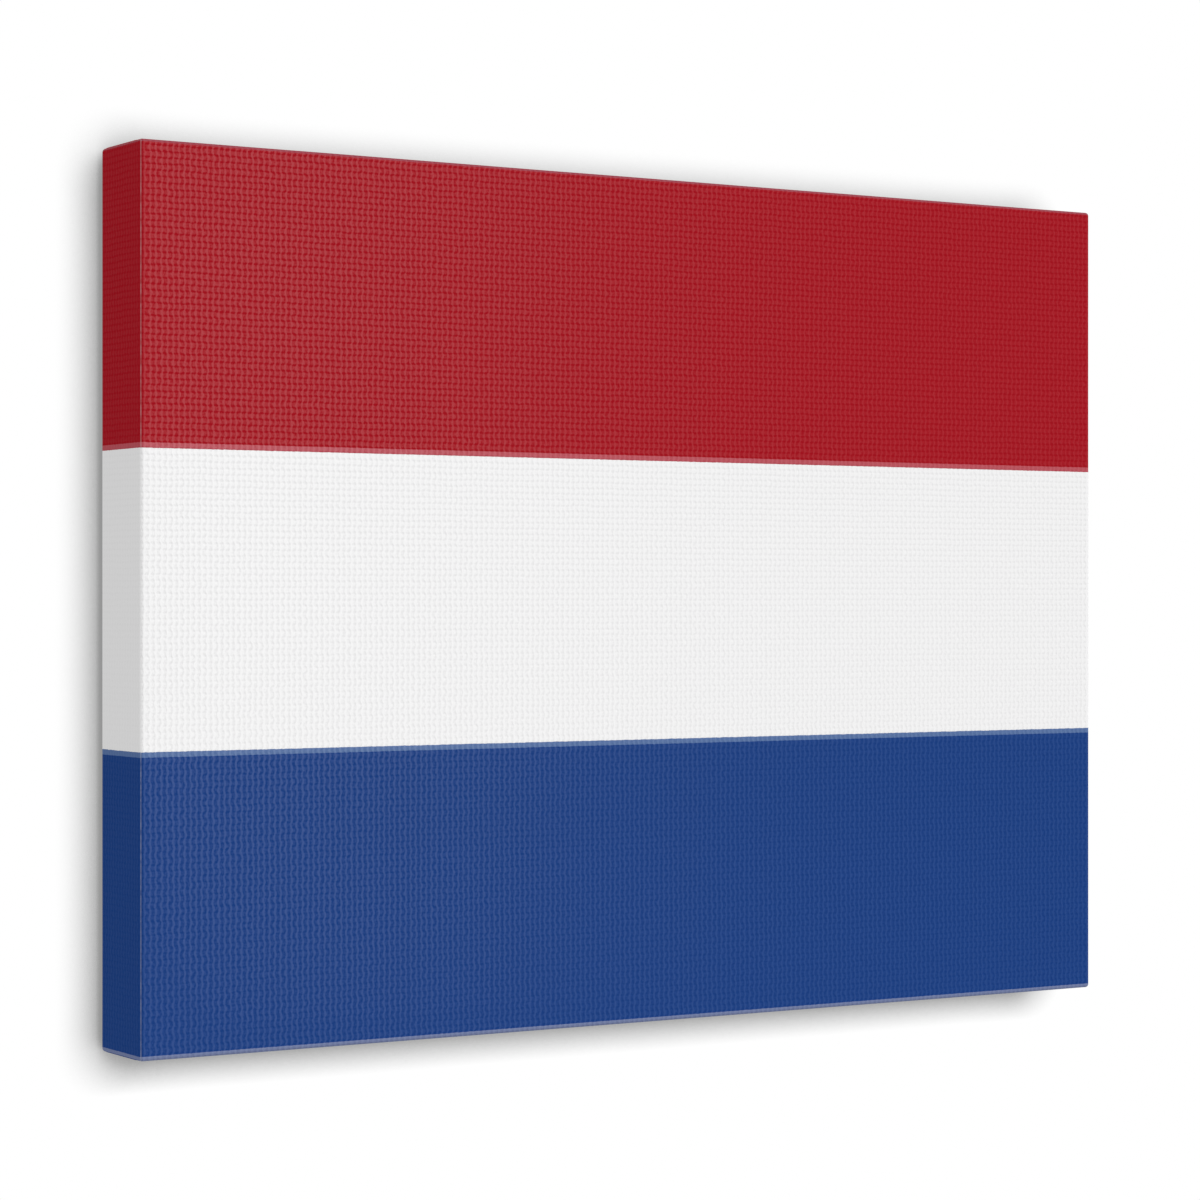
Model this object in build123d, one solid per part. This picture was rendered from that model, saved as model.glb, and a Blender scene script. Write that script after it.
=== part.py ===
from build123d import *

import os
from math import cos, radians, sin, tan

# A stretched canvas: printed fabric wrapped over four keyed softwood stretcher bars and stapled behind, with
# eight corner keys, two D-ring hangers, a picture wire and two wall bumpers. Units are millimetres. +Z is up,
# the print faces -Y, and +X is to the right of someone looking at the print. The origin is the middle of the
# bottom side, the face that stands on a shelf or an easel ledge.

INCH = 25.4

# Canvas
WIDTH = 16 * INCH
HEIGHT = 12 * INCH
DEPTH = 1.25 * INCH
FABRIC = 0.5
FLAP_WIDTH = 20.0
CORNER_ROUND = 2.0
EDGE_ROUND = 1.3

# Stretcher bars. A depth inside a bar is counted from the front of its lip.
SLACK = 0.05
BAR_WIDTH = 38.0
LIP_WIDTH = 5.0
BEVEL_DROP = 4.0
BAR_EASING = 1.0
SKIN = FABRIC + SLACK
FRAME_WIDTH = WIDTH - 2 * SKIN
FRAME_HEIGHT = HEIGHT - 2 * SKIN
BAR_DEPTH = DEPTH - 2 * SKIN
BAR_FRONT_Y = -BAR_DEPTH / 2
BAR_BACK_Y = BAR_DEPTH / 2
CENTRE = Pos(0, 0, HEIGHT / 2)

# Corner joint: each bar has a tongue in one layer of its depth and a slot in the other.
FRONT_LAYER = (11.0, 15.0)
BACK_LAYER = (17.0, 21.0)
MITRE_GAP = 0.1
TONGUE_PLAY = 0.1
TONGUE_TIP_GAP = 1.5
TONGUE_ROOT = 60.0
SLOT_LENGTH = 42.0
KEY_SLOPE = tan(radians(15))
MARGIN = 1.0

# Corner keys
KEY_THICKNESS = 3.6
KEY_NARROW_END = 8.0
KEY_HEAD_END = 48.0
KEY_PLAY = 0.08
KEY_HEAD_CHAMFER = 2.5
KEY_EASING = 0.3

# Staples
STAPLE_CROWN = 11.0
STAPLE_LEG = 8.0
STAPLE_THICKNESS = 0.6
STAPLE_BREADTH = 1.2
STAPLE_SHOULDER = 0.5
STAPLE_POINT = 1.2
STAPLE_INSET = 12.0
STAPLE_SLANT = 7.0
STAPLES_ALONG_WIDTH = 11
STAPLES_ALONG_HEIGHT = 7
FOLD_TO_STAPLE = 20.0
CORNER_TO_STAPLE = 34.0

# D-ring hangers
HANGER_INSET = 31.0
HANGER_HEIGHT = 215.0
STRAP_WIDTH = 9.0
STRAP_LENGTH = 22.0
STRAP_THICKNESS = 0.8
STRAP_SEAM = 0.1
STRAP_TAIL_ROUND = 3.5
EYE_HOLE = 1.1
RING_WIRE = 1.0
RING_RADIUS = 8.5
RING_CORNER = 2.0
SCREW_DROP = 17.0
SCREW_HOLE = 1.9
HANGER_X = WIDTH / 2 - SKIN - HANGER_INSET
EYE_HEIGHT = EYE_HOLE + STRAP_THICKNESS
PIVOT_Y = BAR_BACK_Y + EYE_HEIGHT

# Screws
SCREW_HEAD_RADIUS = 3.2
SCREW_HEAD_HEIGHT = 1.9
SCREW_HEAD_ROUND = 1.3
SCREW_CREST = 1.65
SCREW_ROOT = 1.15
SCREW_PITCH = 1.4
SCREW_TURNS = 7
SCREW_POINT = 2.3
RECESS_LENGTH = 3.6
RECESS_WIDTH = 0.8
RECESS_DEPTH = 1.2

# Picture wire
WIRE_RADIUS = 0.6
WIRE_RISE = 9.0
WIRE_LOOP = RING_WIRE + WIRE_RADIUS + 0.15
WIRE_BEND = 6.0
WRAP_RADIUS = 1.3
WRAP_LENGTH = 26.0

# Wall bumpers
BUMPER_RADIUS = 5.0
BUMPER_TOP_RADIUS = 4.4
BUMPER_HEIGHT = 5.0
BUMPER_ROUND = 1.2
BUMPER_FROM_SIDE = 47.0
BUMPER_FROM_BOTTOM = 29.0

CORNERS = {
    "top_right": (1, 1),
    "bottom_right": (1, -1),
    "bottom_left": (-1, -1),
    "top_left": (-1, 1),
}
BARS = ("top", "right", "bottom", "left")


def rounded_block(inset):
    """The outline of the canvas, inset on all sides, with rounded corners and edges."""
    block = Box(WIDTH - 2 * inset, DEPTH - 2 * inset, HEIGHT - 2 * inset)
    block = fillet(block.edges().filter_by(Axis.Y), CORNER_ROUND - inset)
    for face in (block.faces().sort_by(Axis.Y)[0], block.faces().sort_by(Axis.Y)[-1]):
        block = fillet(block.edges().filter_by(lambda edge: edge in face.edges()), EDGE_ROUND - inset)
    return block


def canvas():
    """The fabric: front sheet, four sides, and flaps turned in over the back of the bars."""
    opening = Box(WIDTH - 2 * FLAP_WIDTH, DEPTH, HEIGHT - 2 * FLAP_WIDTH)
    fabric = rounded_block(0) - rounded_block(FABRIC) - Pos(0, DEPTH / 2, 0) * opening
    return CENTRE * fabric


def prism(points, layer):
    """A prism with an (x, z) outline that fills a layer of the bars' depth."""
    start, end = layer
    plane = Plane((0, BAR_FRONT_Y + end, 0), x_dir=(1, 0, 0), z_dir=(0, -1, 0))
    return extrude(plane * make_face(Polyline(*points, close=True)), amount=end - start)


def bar_blank(length):
    """A bar with a raised outer lip and a front bevelled away from the fabric. Its outer edge is at z 0."""
    outline = make_face(
        Polyline(
            (BAR_FRONT_Y, 0),
            (BAR_BACK_Y, 0),
            (BAR_BACK_Y, -BAR_WIDTH),
            (BAR_FRONT_Y + BEVEL_DROP, -BAR_WIDTH),
            (BAR_FRONT_Y, -LIP_WIDTH),
            close=True,
        )
    )
    inner = outline.vertices().group_by(Axis.Y)[0]
    return extrude(Plane.YZ * fillet(inner, BAR_EASING), amount=length / 2, both=True)


def bar_end(blank, length, side, tongue, slot):
    """Cuts one end of a bar to a mitre with a tongue in one layer and a tapered slot in another."""
    tip = length / 2

    def along(distance):
        return side * (tip - distance)

    low, high = -BAR_WIDTH - MARGIN, MARGIN
    beyond = (along(-MARGIN), high), (along(-MARGIN), low)
    mitre = (along(MITRE_GAP - low), low), (along(MITRE_GAP - high), high)
    tongue_start, tongue_end = tongue
    thin_tongue = (tongue_start + TONGUE_PLAY, tongue_end - TONGUE_PLAY)
    root = (along(TONGUE_TIP_GAP), 0), (along(TONGUE_ROOT), 0)
    width = (along(TONGUE_ROOT), -BAR_WIDTH), (along(TONGUE_TIP_GAP), -BAR_WIDTH)
    bottom = (
        (along(SLOT_LENGTH - KEY_SLOPE * low), low),
        (along(SLOT_LENGTH - KEY_SLOPE * high), high),
    )
    cut = blank - prism((*beyond, *mitre), (-MARGIN, BAR_DEPTH + MARGIN))
    cut += prism((*root, *width), thin_tongue)
    return cut - prism((*beyond, *bottom), slot)


def stretcher_bar(length, reach):
    """A bar whose outer edge is reach above the middle of the frame. Its right end has the front tongue."""
    bar = bar_end(bar_blank(length), length, 1, FRONT_LAYER, BACK_LAYER)
    bar = bar_end(bar, length, -1, BACK_LAYER, FRONT_LAYER)
    return Pos(0, 0, reach) * bar


def stretcher_bars():
    """The four bars by name. Going clockwise, each one's front tongue enters the next one's slot."""
    core = rounded_block(SKIN)
    bars = {}
    for turn, name in enumerate(BARS):
        spans = (FRAME_WIDTH, FRAME_HEIGHT) if turn % 2 == 0 else (FRAME_HEIGHT, FRAME_WIDTH)
        length, across = spans
        bar = Rot(0, 90 * turn, 0) * stretcher_bar(length, across / 2)
        bars[f"stretcher_bar_{name}"] = CENTRE * (bar & core)
    return bars


def corner_key(swap, layer):
    """A key at the top right corner of a frame whose outer corner is the origin."""
    inner = BAR_WIDTH + KEY_PLAY

    def slant(distance):
        return SLOT_LENGTH + KEY_SLOPE * distance - KEY_PLAY

    outline = [
        (KEY_NARROW_END, inner),
        (KEY_HEAD_END - KEY_HEAD_CHAMFER, inner),
        (KEY_HEAD_END, inner + KEY_HEAD_CHAMFER),
        (KEY_HEAD_END, slant(KEY_HEAD_END) - KEY_HEAD_CHAMFER),
        (KEY_HEAD_END - KEY_HEAD_CHAMFER, slant(KEY_HEAD_END - KEY_HEAD_CHAMFER)),
        (KEY_NARROW_END, slant(KEY_NARROW_END)),
    ]
    points = [(-b, -a) if swap else (-a, -b) for a, b in outline]
    middle = sum(layer) / 2
    key = prism(points, (middle - KEY_THICKNESS / 2, middle + KEY_THICKNESS / 2))
    return chamfer(key.edges(), KEY_EASING)


def corner_keys():
    """The eight keys, two at each corner, named by the corner and by the bar whose slot holds them."""
    keys = {}
    for turn, (corner, (right, up)) in enumerate(CORNERS.items()):
        place = CENTRE * Pos(right * FRAME_WIDTH / 2, 0, up * FRAME_HEIGHT / 2) * Rot(0, 90 * turn, 0)
        this_bar, next_bar = BARS[turn], BARS[(turn + 1) % len(BARS)]
        keys[f"key_{corner}_in_{next_bar}_bar"] = place * corner_key(False, FRONT_LAYER)
        keys[f"key_{corner}_in_{this_bar}_bar"] = place * corner_key(True, BACK_LAYER)
    return keys


def staple():
    """One staple with the underside of its crown on the plane y 0 and its legs along -Y."""
    half, crown = STAPLE_CROWN / 2, STAPLE_THICKNESS
    inside = half - STAPLE_THICKNESS
    short_side = STAPLE_POINT - STAPLE_LEG
    outline = make_face(
        Polyline(
            (-half, crown),
            (half, crown),
            (half, -STAPLE_LEG),
            (inside, short_side),
            (inside, 0),
            (-inside, 0),
            (-inside, short_side),
            (-half, -STAPLE_LEG),
            close=True,
        )
    )
    shoulders = outline.vertices().group_by(Axis.Y)[-1]
    return extrude(fillet(shoulders, STAPLE_SHOULDER), amount=STAPLE_BREADTH / 2, both=True)


def staple_row(count, span, reach, turn):
    """A row of staples along one flap, each slanted a little the other way from the last."""
    row = []
    for i in range(count):
        x = span * (i / (count - 1) - 0.5)
        slant = STAPLE_SLANT if i % 2 else -STAPLE_SLANT
        place = Pos(x, DEPTH / 2, reach - STAPLE_INSET) * Rot(0, slant, 0)
        row.append(CENTRE * Rot(0, 90 * turn, 0) * place * staple())
    return Compound(row)


def staples():
    """The staples that hold the four flaps, by bar. The end ones on the long bars also hold the folds."""
    rows = {}
    for turn, name in enumerate(BARS):
        if turn % 2 == 0:
            row = staple_row(STAPLES_ALONG_WIDTH, WIDTH - 2 * FOLD_TO_STAPLE, HEIGHT / 2, turn)
        else:
            row = staple_row(STAPLES_ALONG_HEIGHT, HEIGHT - 2 * CORNER_TO_STAPLE, WIDTH / 2, turn)
        rows[f"staples_{name}"] = row
    return rows


def hanger_strap():
    """A strip folded double round an eye. The eye's axis is X at the origin, and the tail hangs down."""
    seam_y = STRAP_THICKNESS - EYE_HEIGHT
    tail = Pos(seam_y, -STRAP_LENGTH / 2) * Rectangle(2 * STRAP_THICKNESS, STRAP_LENGTH)
    fold = tail + Circle(EYE_HEIGHT) - Circle(EYE_HOLE)
    seam = Pos(seam_y, -EYE_HEIGHT) * Rectangle(STRAP_SEAM, STRAP_LENGTH, align=(Align.CENTER, Align.MAX))
    strap = extrude(Plane.YZ * (fold - seam), amount=STRAP_WIDTH / 2, both=True)
    tail_corners = strap.edges().filter_by(Axis.Y).group_by(Axis.Z)[0]
    strap = fillet(tail_corners, STRAP_TAIL_ROUND)
    return strap - Pos(0, 0, -SCREW_DROP) * Rot(90, 0, 0) * Cylinder(SCREW_HOLE, 4 * EYE_HEIGHT)


def hanger_ring():
    """A D-shaped wire ring. Its straight side lies along X through the origin, in the strap's eye."""
    foot = RING_RADIUS - RING_CORNER
    path = Curve() + [
        Line((-foot, 0), (foot, 0)),
        JernArc((foot, 0), (1, 0), RING_CORNER, 90),
        JernArc((RING_RADIUS, RING_CORNER), (0, 1), RING_RADIUS, 180),
        JernArc((-RING_RADIUS, RING_CORNER), (0, -1), RING_CORNER, 90),
    ]
    start = Plane((-foot, 0, 0), z_dir=(1, 0, 0))
    return Rot(90, 0, 0) * sweep(start * Circle(RING_WIRE), path=path.wire())


def screw():
    """A pan-head wood screw with a cross recess. Its head rests on the plane y 0 and its point is at -Y."""
    thread = []
    for turn in range(SCREW_TURNS):
        top = -turn * SCREW_PITCH
        thread += [(SCREW_ROOT, top), (SCREW_CREST, top - SCREW_PITCH / 2)]
    shank_end = -SCREW_TURNS * SCREW_PITCH
    profile = make_face(
        Polyline(
            (0, SCREW_HEAD_HEIGHT),
            (SCREW_HEAD_RADIUS, SCREW_HEAD_HEIGHT),
            (SCREW_HEAD_RADIUS, 0),
            *thread,
            (SCREW_ROOT, shank_end),
            (0, shank_end - SCREW_POINT),
            close=True,
        )
    )
    rim = profile.vertices().group_by(Axis.Y)[-1].sort_by(Axis.X)[-1]
    body = revolve(fillet(rim, SCREW_HEAD_ROUND), Axis.Y)
    slot = Box(RECESS_LENGTH, 2 * RECESS_DEPTH, RECESS_WIDTH)
    cross = slot + Rot(0, 90, 0) * slot
    return body - Pos(0, SCREW_HEAD_HEIGHT, 0) * cross


def picture_wire():
    """The wire between the rings, pulled up in the middle, with a loop and a wrapped tail at each ring."""
    rise = radians(WIRE_RISE)
    out = Vector(cos(rise), 0, sin(rise))
    ring_middle = Vector(-HANGER_X, PIVOT_Y, HANGER_HEIGHT + RING_CORNER)
    knot = ring_middle + out * RING_RADIUS
    start = knot + out * WIRE_LOOP
    apex = Vector(0, PIVOT_Y, ring_middle.Z + HANGER_X * tan(rise))
    bend = apex - out * WIRE_BEND
    bend_across = Vector(-bend.X, bend.Y, bend.Z)
    along = Plane(start, z_dir=out)
    wrap = Cylinder(WRAP_RADIUS, WRAP_LENGTH, align=(Align.CENTER, Align.CENTER, Align.MIN))
    loop = Plane(knot, z_dir=(-sin(rise), 0, cos(rise))) * Torus(WIRE_LOOP, WIRE_RADIUS)
    half = sweep(along * Circle(WIRE_RADIUS), path=Edge.make_line(start, bend)) + along * wrap + loop
    peak = Edge.make_three_point_arc(bend, apex - Vector(0, 0, WIRE_BEND * sin(rise) / 2), bend_across)
    middle = sweep(Plane(bend, z_dir=peak % 0) * Circle(WIRE_RADIUS), path=peak)
    return half + middle + half.mirror(Plane.YZ)


def wall_bumper():
    """A soft stud with a flat outer end. It is glued down at y 0 and stands along +Y."""
    on_base = (Align.CENTER, Align.CENTER, Align.MIN)
    stud = Cone(BUMPER_RADIUS, BUMPER_TOP_RADIUS, BUMPER_HEIGHT, align=on_base)
    stud = fillet(stud.edges().sort_by(Axis.Z)[-1], BUMPER_ROUND)
    return Rot(-90, 0, 0) * stud


def hardware():
    """The hangers, their screws, the picture wire and the bumpers."""
    parts = {"picture_wire": picture_wire()}
    head = Pos(0, 2 * STRAP_THICKNESS - EYE_HEIGHT, -SCREW_DROP)
    for name, side in (("left", -1), ("right", 1)):
        pivot = Pos(side * HANGER_X, PIVOT_Y, HANGER_HEIGHT)
        bumper = Pos(side * (WIDTH / 2 - BUMPER_FROM_SIDE), BAR_BACK_Y, BUMPER_FROM_BOTTOM)
        parts[f"hanger_strap_{name}"] = pivot * hanger_strap()
        parts[f"hanger_ring_{name}"] = pivot * hanger_ring()
        parts[f"hanger_screw_{name}"] = pivot * head * screw()
        parts[f"wall_bumper_{name}"] = bumper * wall_bumper()
    return parts


def main():
    os.makedirs("parts", exist_ok=True)
    parts = {
        "canvas": canvas(),
        **stretcher_bars(),
        **corner_keys(),
        **staples(),
        **hardware(),
    }
    for name, shape in parts.items():
        export_step(shape, f"parts/{name}.step")


main()
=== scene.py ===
# Looks of a stretched canvas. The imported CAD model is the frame. The fabric, the picture wire and the
# rubber feet are rebuilt here as detailed meshes. Every other CAD node keeps its shape and gets a
# procedural material. Lengths are in metres. The print faces -Y and +Z is up.

import math

import bpy
import numpy as np
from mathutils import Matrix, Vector, noise


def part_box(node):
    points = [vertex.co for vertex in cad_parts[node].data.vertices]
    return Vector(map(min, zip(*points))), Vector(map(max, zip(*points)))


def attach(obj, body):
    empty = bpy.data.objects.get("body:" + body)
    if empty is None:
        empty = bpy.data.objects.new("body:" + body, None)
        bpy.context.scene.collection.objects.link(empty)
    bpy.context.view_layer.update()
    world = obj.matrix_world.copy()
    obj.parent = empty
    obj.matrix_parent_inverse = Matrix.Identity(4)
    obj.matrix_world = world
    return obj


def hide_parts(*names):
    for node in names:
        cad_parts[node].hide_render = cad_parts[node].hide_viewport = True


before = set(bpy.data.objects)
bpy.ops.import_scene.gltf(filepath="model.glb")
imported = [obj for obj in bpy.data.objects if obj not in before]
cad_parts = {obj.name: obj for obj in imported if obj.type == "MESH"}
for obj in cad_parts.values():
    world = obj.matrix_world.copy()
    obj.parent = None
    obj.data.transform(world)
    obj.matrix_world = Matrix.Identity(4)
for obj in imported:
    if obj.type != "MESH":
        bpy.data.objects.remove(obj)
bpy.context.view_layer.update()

MM = 0.001

# Places taken from the frame
CANVAS_LOW, CANVAS_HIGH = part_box("canvas")
CENTRE = (CANVAS_LOW + CANVAS_HIGH) / 2
HALF_WIDTH, HALF_DEPTH, HALF_HEIGHT = (CANVAS_HIGH - CANVAS_LOW) / 2
DEPTH, HEIGHT = 2 * HALF_DEPTH, 2 * HALF_HEIGHT
FRONT_Y, BACK_Y = CANVAS_LOW.y, CANVAS_HIGH.y
BARS = ("top", "right", "bottom", "left")
SIDES = ("left", "right")

# Fabric
FABRIC = 0.5 * MM
FLAP_WIDTH = 20 * MM
EDGE_RADIUS = 1.3 * MM
FINE_BAND = 36 * MM
FINE_STEP = 1.0 * MM
COARSE_STEP = 4.5 * MM
LIP_WIDTH = 7 * MM
SAG = 0.3 * MM
SAG_RUN_IN = 60 * MM
SAG_WAVE = 70 * MM
RIPPLE = 0.05 * MM
RIPPLE_WAVE = 38 * MM

# Flaps on the back. They lift between the staples and lie flat under them and at the corners.
FLAP_LIFT = 1.0 * MM
FLAP_WAVE = 17 * MM
FLAP_CORNER_SIDE = 12 * MM
FLAP_CORNER_END = 6 * MM
FLAP_CORNER_START = 2 * MM
FLAP_CORNER_LIFT = 0.1
CUT_WOBBLE = 0.45 * MM
CUT_WAVE = 9 * MM
CUT_ZONE_START = 14 * MM
CUT_ZONE_RUN = 6 * MM
STAPLE_GRIP = 6 * MM
STAPLE_FLAT = 1.2 * MM
STAPLE_GAP = 15 * MM

# Folded corner pleats
PLEAT_EDGE = 1.6 * MM
PLEAT_RISE = 0.45 * MM
PLEAT_SLOPE = 2.2 * MM
PLEAT_MARGIN = 9 * MM
PLEAT_STEP = 0.8 * MM
PLEAT_SUNK = 0.25 * MM
PLEAT_ROLL = 0.15 * MM
PLEAT_ROLL_WIDTH = 0.7 * MM
PLEAT_RUN_IN = 6 * MM
PLEAT_STAPLE_GRIP = 4 * MM
PLEAT_PRESSED = 0.75

# Loose threads along the cut edges. Drift and curl are shares of a thread's length.
FRAY_SEED = 5
FRAY_SPACING = 4.5 * MM
FRAY_MARGIN = 3 * MM
FRAY_STEPS = 5
FRAY_RADIUS = 0.11 * MM
FRAY_SIDES = 5
FRAY_TUCKED = 0.8 * MM
FRAY_LENGTHS = (0.8 * MM, 3.2 * MM)
FRAY_DRIFT = 0.6
FRAY_CURL = 0.4

# Picture wire
STRANDS = 5
STRAND_RADIUS = 0.26 * MM
STRAND_ORBIT = 0.32 * MM
STRAND_LAY = 5.5 * MM
STRAND_SIDES = 6
TAIL_RADIUS = 0.42 * MM
TAIL_PITCH = 1.9 * MM
TAIL_LENGTH = 26 * MM
TAIL_CLEARANCE = 0.12 * MM
LOOP_CLEARANCE = 0.15 * MM
LOOP_STEPS = 25
STRAIGHT_STEPS = 260
TAIL_STEPS = 220
PEAK_STEPS = 8
PEAK_SMOOTHINGS = 3

# Rubber feet. Shares are of the foot's radius or height.
FOOT_SEGMENTS = 48
FOOT_STRAIGHT = 0.12
FOOT_TAPER = 0.96
FOOT_RIM = 0.28
FOOT_RIM_ANGLES = (25, 50, 75, 90)
FOOT_DISH = ((0.60, 0.98), (0.40, 0.93), (0.12, 0.90))

# Print. Heights are from the bottom of the front face, and a band is the paler strip at a colour's edge.
BLUE_TOP = 0.335 * HEIGHT
RED_BOTTOM = 0.665 * HEIGHT
BAND = 1.8 * MM
BOTTOM_BAND = 1.6 * MM
TOP_BAND = 0.9 * MM
BAND_PAST_FOLD = 1.5 * MM
PRINT_OVER_BACK = 7 * MM
PRINT_EDGE = 0.1 * MM
INK_BLEED = 0.35 * MM
# Painted highlight along the upright folds: where it is full, and how far it reaches
FOLD_HIGHLIGHT_CORE = 0.12 * MM
FOLD_HIGHLIGHT_REACH = 0.42 * MM

# Weave. Drift and sway are shares of the pitch, and depth past the folds is a share of the depth in front.
THREAD_PITCH = 2.09 * MM
WEAVE_RELIEF = 0.15 * MM
BACK_RELIEF = 0.2 * MM
ROW_DRIFT = 0.4
COLUMN_DRIFT = 0.5
COLUMN_SWAY = 0.12
DEPTH_PAST_FOLD = 0.35
WEAVE_FADE = 1.5 * MM

# Sheen of the printed threads, painted shade in the gaps between them, and denser ink there
FRONT_SHEEN = 0.36
SIDE_SHEEN = 0.09
SHEEN_ROUGHNESS = 0.31
SHEEN_BLEND = 0.5 * MM
GAP_SHADE = 0.18
INK_DENSITY = 0.075

# Camera. The near edge is the front's left edge: how far off it is, and how far left of the picture's middle.
VIEW_YAW = math.radians(32.09)
LENS = 101.5
SENSOR = 36.0
NEAR_EDGE_DISTANCE = 1.1157
NEAR_EDGE_OFFSET = 0.1516

# Stage
WALL_GAP = 0.1 * MM
FLOOR_DROP = 120 * MM
STAGE_SIZE = 60.0
WALL_SHADOW = 1.8
WALL_SHADOW_REACH = 17 * MM
WALL_LIGHT_FROM = (-0.37, -0.88, 0.30)
DARKEST_WALL = 0.3

# Lights. Directions point from the canvas to the light.
SKY_LIGHT = 0.70
WINDOW_FROM = (0.35, 0.80, 0.48)
REFLECTED_SKY = {"From Min": -0.25, "From Max": 0.9, "To Min": 0.02, "To Max": 0.9}
FRONT_SUN_FROM = (0.45, -0.75, 0.48)
FRONT_SUN_POWER = 1.38
BACK_SUN_FROM = (0.40, 0.78, 0.48)
BACK_SUN_POWER = 0.95
SUN_SPREAD = math.radians(50)
SHEEN_BOX_OFFSET = (0.50, -1.38, 0.0)
SHEEN_BOX_WIDTH = 0.4
SHEEN_BOX_HEIGHT = 2.4
SHEEN_BOX_POWER = 14.5


# ---------------------------------------------------------------- materials


class Shader:
    """A node material with a Principled surface, built with short calls."""

    def __init__(self, name):
        self.material = bpy.data.materials.new(name)
        self.material.use_nodes = True
        self.tree = self.material.node_tree
        self.surface = self.tree.nodes["Principled BSDF"]

    def node(self, kind, settings=None, **inputs):
        """Adds a node. Settings are its properties, and an input is a value or another node's output."""
        made = self.tree.nodes.new(kind)
        for key, value in (settings or {}).items():
            setattr(made, key, value)
        for key, value in inputs.items():
            self.feed(made.inputs[key.replace("_", " ")], value)
        return made

    def feed(self, socket, value):
        """Links another node's output to a socket, or sets the socket's value."""
        if isinstance(value, bpy.types.NodeSocket):
            self.tree.links.new(value, socket)
        else:
            socket.default_value = value

    def math(self, operation, *values, clamp=False):
        """The result of one arithmetic step."""
        made = self.tree.nodes.new("ShaderNodeMath")
        made.operation = operation
        made.use_clamp = clamp
        for socket, value in zip(made.inputs, values):
            self.feed(socket, value)
        return made.outputs[0]

    def mix(self, factor, first, second, blend="MIX"):
        """Two colours mixed: the first at 0, the second at 1."""
        made = self.tree.nodes.new("ShaderNodeMix")
        made.data_type = "RGBA"
        made.blend_type = blend
        self.feed(made.inputs["Factor"], factor)
        self.feed(made.inputs["A"], first)
        self.feed(made.inputs["B"], second)
        return made.outputs["Result"]

    def between(self, value, low, high, to_low=0.0, to_high=1.0):
        """Maps low..high to to_low..to_high with a smooth step, and holds the ends."""
        made = self.tree.nodes.new("ShaderNodeMapRange")
        made.interpolation_type = "SMOOTHSTEP"
        for name, number in (("From Min", low), ("From Max", high), ("To Min", to_low), ("To Max", to_high)):
            self.feed(made.inputs[name], number)
        self.feed(made.inputs["Value"], value)
        return made.outputs["Result"]

    def noise(self, vector, scale, detail=3.0, roughness=0.5):
        """Smooth noise round 0.5. Its features get smaller as the scale grows."""
        made = self.node("ShaderNodeTexNoise", Scale=scale, Detail=detail, Roughness=roughness)
        self.feed(made.inputs["Vector"], vector)
        return made.outputs["Fac"]

    def place(self, stretch=(1.0, 1.0, 1.0)):
        """Object coordinates, stretched."""
        coordinates = self.node("ShaderNodeTexCoord").outputs["Object"]
        return self.node("ShaderNodeMapping", Vector=coordinates, Scale=stretch).outputs[0]

    def set(self, **inputs):
        """Sets or links inputs of the surface."""
        for key, value in inputs.items():
            self.feed(self.surface.inputs[key.replace("_", " ")], value)

    def bump(self, height, distance, strength=1.0):
        """A normal that shows a relief of this height times the distance."""
        return self.node("ShaderNodeBump", Height=height, Distance=distance, Strength=strength).outputs[0]


def rgb(red, green, blue):
    """An opaque colour."""
    return (red, green, blue, 1.0)


RED_INK = rgb(0.372, 0.0085, 0.0165)
BLUE_INK = rgb(0.0135, 0.0545, 0.229)
PAPER_WHITE = rgb(0.871, 0.868, 0.871)
PINK_BAND = rgb(0.47, 0.083, 0.104)
PALE_BLUE_BAND = rgb(0.099, 0.169, 0.356)
LAVENDER_BAND = rgb(0.168, 0.204, 0.359)
MAUVE_BAND = rgb(0.33, 0.06, 0.08)
PRIMED_CANVAS = rgb(0.84, 0.82, 0.77)
# Grey for the painted shade in the gaps between the printed threads
THREAD_GAP_SHADE = rgb(0.6, 0.6, 0.6)
RAW_CANVAS = rgb(0.72, 0.66, 0.53)
RAW_SLUB = rgb(0.78, 0.73, 0.61)
# Colour for the painted shade in the gaps of the raw canvas
RAW_GAP_SHADE = rgb(0.45, 0.38, 0.27)
PINE_EARLY = rgb(0.74, 0.55, 0.34)
PINE_LATE = rgb(0.52, 0.32, 0.15)
BIRCH_EARLY = rgb(0.76, 0.60, 0.40)
BIRCH_LATE = rgb(0.60, 0.42, 0.24)
WOOD_FLECK = rgb(0.42, 0.25, 0.12)
WOOD_TONE = rgb(0.88, 0.76, 0.58)
KNOT_PALE = rgb(0.42, 0.23, 0.10)
KNOT_DARK = rgb(0.25, 0.12, 0.05)
KNOT_RIM = rgb(0.13, 0.06, 0.03)
BLACK_RUBBER = rgb(0.022, 0.022, 0.024)
DUSTY_RUBBER = rgb(0.06, 0.06, 0.062)

# Growth rings: their widths, where the middle of the tree lies, and how unevenly they run
PINE_RING = 3.1 * MM
BIRCH_RING = 1.9 * MM
PINE_HEART_Y = -50 * MM
PINE_HEART_INSIDE = -38 * MM
PINE_HEART_OUTSIDE = 45 * MM
BIRCH_HEART_X = 30 * MM
BIRCH_HEART_Y = 55 * MM
BIRCH_HEART_Z = 25 * MM
RING_WANDER = 8 * MM
RING_RIPPLE = 0.9 * MM

# A knot in the timber: the bar it is in and its place, then its sizes
KNOT_AT = {"bottom": (62 * MM, BACK_Y, 26 * MM)}
KNOT_UNEVEN = 2.4 * MM
KNOT_RING = 1.1 * MM
KNOT_HEART = 4.2 * MM
KNOT_RADIUS = 5.4 * MM
KNOT_SOFT_EDGE = 6.4 * MM
KNOT_BULGE = 6 * MM
KNOT_BULGE_START = 1 * MM
KNOT_BULGE_REACH = 15 * MM


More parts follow.
